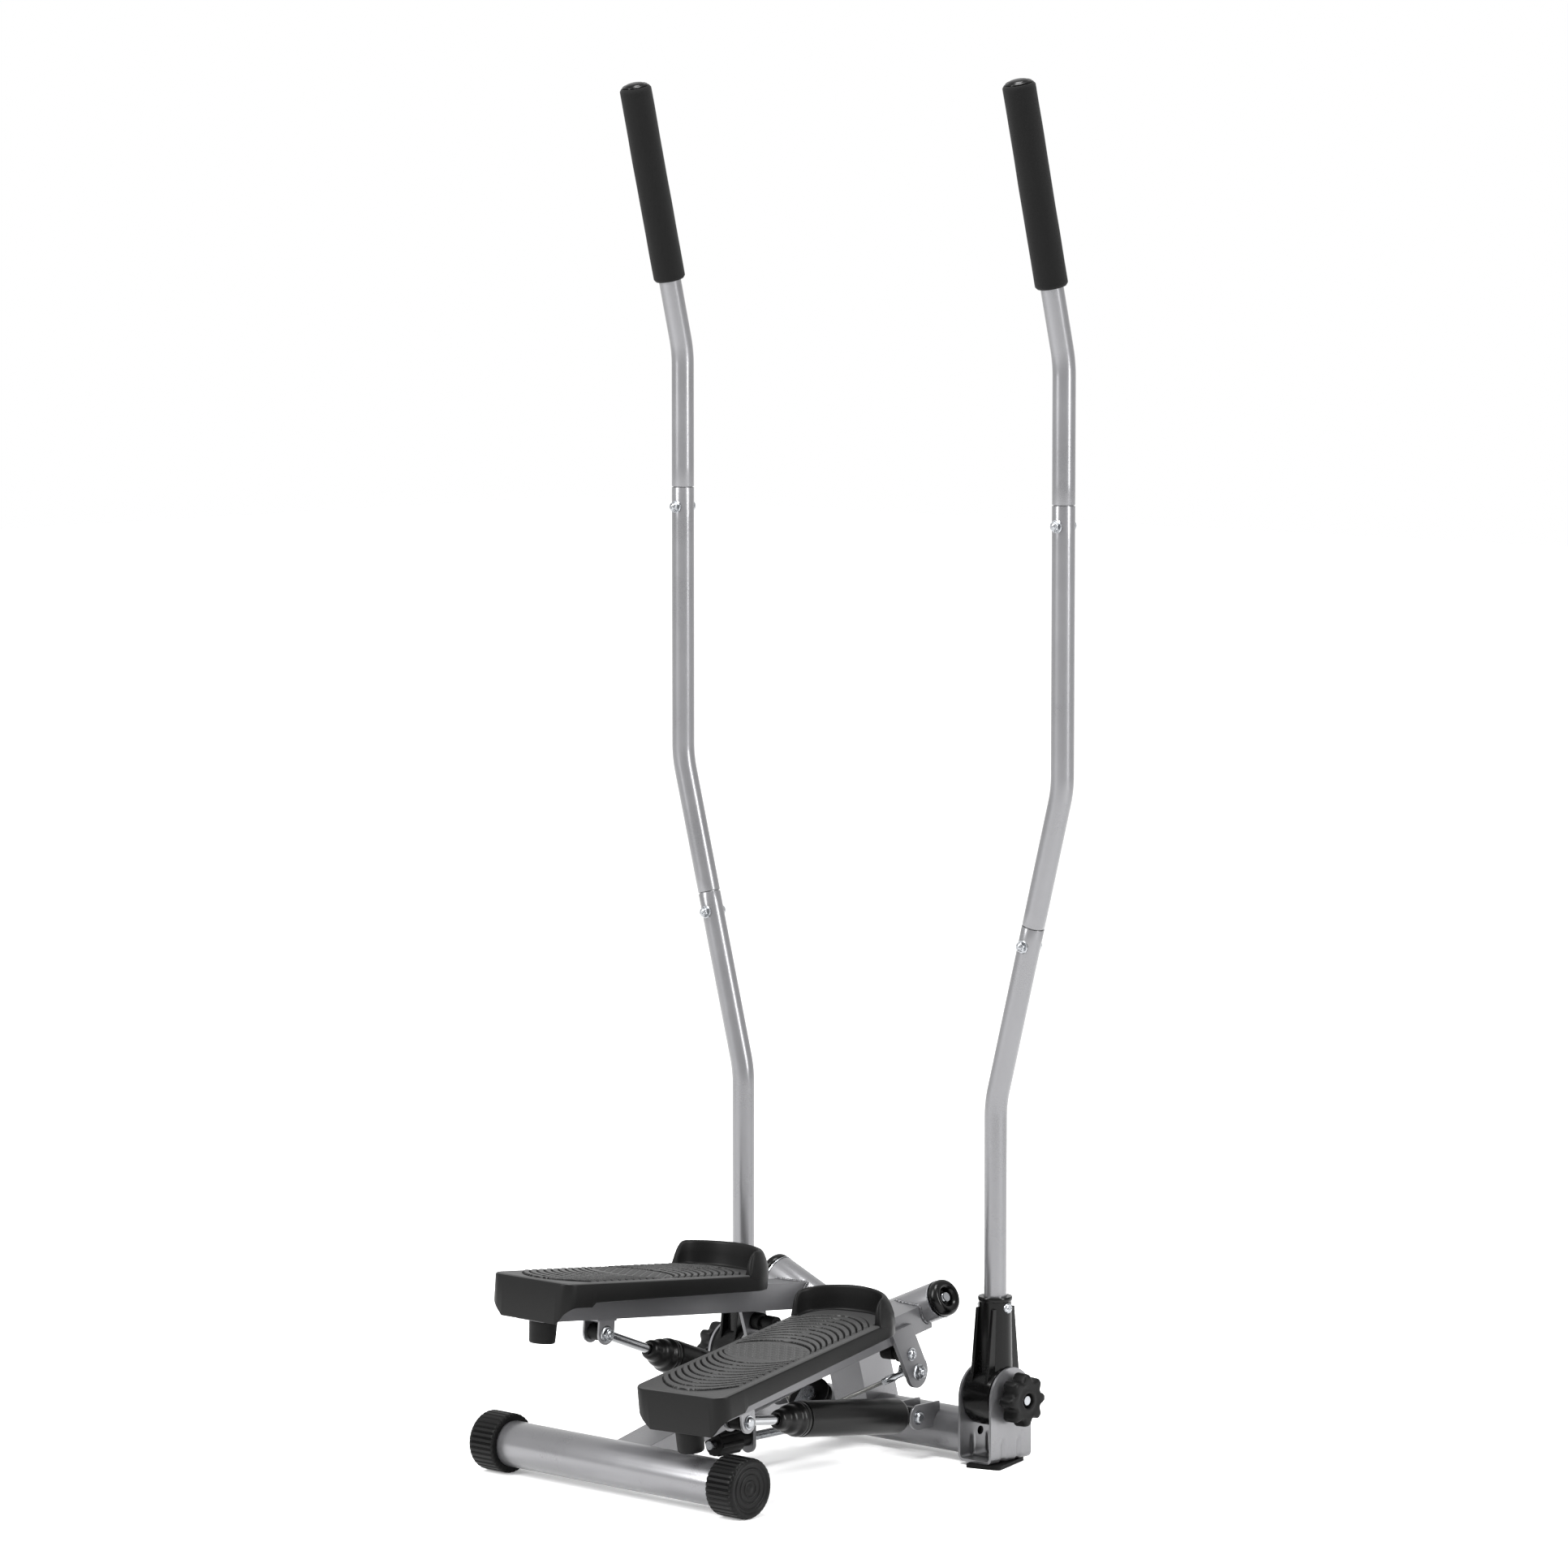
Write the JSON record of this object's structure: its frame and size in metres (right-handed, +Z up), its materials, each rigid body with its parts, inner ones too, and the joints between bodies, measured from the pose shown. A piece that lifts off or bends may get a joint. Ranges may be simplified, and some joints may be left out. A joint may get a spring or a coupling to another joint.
{
  "type": "stepper",
  "caption": "Step exerciser: two canted pivoting footplates linked by a rope and pulley and damped by oil cylinders, with two tall swinging hand levers.",
  "frame": {"origin": "on the floor under the middle of the overall box, in the plane of symmetry between the pedals", "axes": "+X to the user's right, +Y forward from the heels to the hand levers, +Z up"},
  "size_m": [0.6056, 0.4878, 1.5252],
  "materials": {
    "silver_paint": "silver-grey metallic paint with a soft sheen",
    "grey_paint": "darker grey satin paint",
    "black_paint": "satin black paint",
    "black_plastic": "moulded black plastic, satin",
    "gloss_black_plastic": "moulded black plastic, semi-gloss",
    "tread_plastic": "charcoal moulded plastic with a fine grain",
    "black_rubber": "matte black rubber",
    "white_nylon": "natural nylon bush",
    "foam": "closed-cell foam, matte with a fine skin",
    "zinc_steel": "bright zinc-plated steel",
    "chrome_rod": "hard-chromed ground rod with a black rubber eye",
    "wire": "twisted steel wire rope"
  },
  "bodies": {
    "base": {"rear_tube": "silver_paint", "rear_caps": "black_plastic", "main_beam": "silver_paint", "center_post": "silver_paint", "front_tube": "silver_paint", "handle_bracket_left": "silver_paint", "handle_bracket_right": "silver_paint", "foot_pads": "black_rubber", "cylinder_lugs": "silver_paint", "pedal_axles": "zinc_steel", "axle_washers": "zinc_steel", "axle_caps": "black_plastic", "cylinder_bolts": "zinc_steel", "handle_pivot_bolts": "zinc_steel", "adjuster_lug": "grey_paint", "pulley_yoke": "zinc_steel", "wire_rope": "wire"},
    "left_pedal": {"pedal_arm_left": "silver_paint", "pivot_sleeve_left": "silver_paint", "sleeve_bushes_left": "white_nylon", "footplate_left": "tread_plastic", "heel_bumper_left": "black_rubber", "rod_bracket_left": "grey_paint", "link_plate_left": "grey_paint", "pedal_bolts_left": "zinc_steel", "stop_roller_left": "black_rubber"},
    "left_cylinder": {"cylinder_barrel_left": "black_paint", "cylinder_neck_left": "gloss_black_plastic"},
    "left_rod": {"piston_rod_left": "chrome_rod"},
    "left_handle": {"handle_hub_left": "gloss_black_plastic", "lower_tube_left": "silver_paint", "middle_tube_left": "silver_paint", "upper_tube_left": "silver_paint", "foam_grip_left": "foam", "grip_plug_left": "black_plastic", "handle_bolts_left": "zinc_steel"},
    "left_knob": {"star_knob_left": "black_plastic"},
    "right_pedal": {"pedal_arm_right": "silver_paint", "pivot_sleeve_right": "silver_paint", "sleeve_bushes_right": "white_nylon", "footplate_right": "tread_plastic", "heel_bumper_right": "black_rubber", "rod_bracket_right": "grey_paint", "link_plate_right": "grey_paint", "pedal_bolts_right": "zinc_steel", "stop_roller_right": "black_rubber"},
    "right_cylinder": {"cylinder_barrel_right": "black_paint", "cylinder_neck_right": "gloss_black_plastic"},
    "right_rod": {"piston_rod_right": "chrome_rod"},
    "right_handle": {"handle_hub_right": "gloss_black_plastic", "lower_tube_right": "silver_paint", "middle_tube_right": "silver_paint", "upper_tube_right": "silver_paint", "foam_grip_right": "foam", "grip_plug_right": "black_plastic", "handle_bolts_right": "zinc_steel"},
    "right_knob": {"star_knob_right": "black_plastic"},
    "pulley_wheel": {"pulley": "black_plastic"},
    "adjuster_knob": {"height_knob": "black_plastic"}
  },
  "joints": [
    {"name": "right_pedal_pivot", "type": "hinge", "parent": "base", "child": "right_pedal", "pos_m": [0.1212, 0.19609, 0.176], "axis": [-0.9206, 0, -0.3904], "range_deg": [-1.3, 15], "deforming": ["wire_rope"]},
    {"name": "left_pedal_pivot", "type": "hinge", "parent": "base", "child": "left_pedal", "pos_m": [-0.1212, 0.19609, 0.176], "axis": [0.9206, 0, -0.3904], "range_deg": [-1.4, 15.1]},
    {"name": "right_cylinder_pin", "type": "hinge", "parent": "base", "child": "right_cylinder", "pos_m": [0.105, 0.16089, 0.0478], "axis": [-0.9206, 0, -0.3904], "range_deg": [-1.54, 15.66]},
    {"name": "left_cylinder_pin", "type": "hinge", "parent": "base", "child": "left_cylinder", "pos_m": [-0.105, 0.16089, 0.0478], "axis": [0.9206, 0, -0.3904], "range_deg": [-1.54, 15.66]},
    {"name": "right_rod_slide", "type": "slide", "parent": "right_cylinder", "child": "right_rod", "axis": [0.0352, -0.9909, 0.1302], "range_m": [-0.0029, 0.0307]},
    {"name": "left_rod_slide", "type": "slide", "parent": "left_cylinder", "child": "left_rod", "axis": [0.0582, -0.9348, 0.3504], "range_m": [-0.0307, 0.0029]},
    {"name": "pulley_pin", "type": "hinge", "parent": "base", "child": "pulley_wheel", "pos_m": [0, 0.11589, 0.06], "axis": [0, 0.7218, -0.6921], "range_deg": [-1.39, 13.97]},
    {"name": "height_knob_turn", "type": "hinge", "parent": "base", "child": "adjuster_knob", "pos_m": [0, -0.02411, 0.031], "axis": [0, 1, 0], "continuous": true},
    {"name": "left_handle_pivot", "type": "hinge", "parent": "base", "child": "left_handle", "pos_m": [-0.1905, 0.20989, 0.0752], "axis": [1, 0, 0], "range_deg": [-18, 20]},
    {"name": "left_knob_turn", "type": "hinge", "parent": "base", "child": "left_knob", "pos_m": [-0.1905, 0.20989, 0.0752], "axis": [1, 0, 0], "continuous": true},
    {"name": "right_handle_pivot", "type": "hinge", "parent": "base", "child": "right_handle", "pos_m": [0.1905, 0.20989, 0.0752], "axis": [1, 0, 0], "range_deg": [-18, 20]},
    {"name": "right_knob_turn", "type": "hinge", "parent": "base", "child": "right_knob", "pos_m": [0.1905, 0.20989, 0.0752], "axis": [1, 0, 0], "continuous": true}
  ],
  "couplings": [
    {"joint": "left_pedal_pivot", "follows": "right_pedal_pivot", "ratio": 1},
    {"joint": "right_cylinder_pin", "follows": "right_pedal_pivot", "ratio": 1.0306},
    {"joint": "left_cylinder_pin", "follows": "right_pedal_pivot", "ratio": 1.0306},
    {"joint": "right_rod_slide", "follows": "right_pedal_pivot", "m_per_rad": 0.11595},
    {"joint": "left_rod_slide", "follows": "right_pedal_pivot", "m_per_rad": -0.11595},
    {"joint": "pulley_pin", "follows": "right_pedal_pivot", "ratio": 0.918}
  ]
}
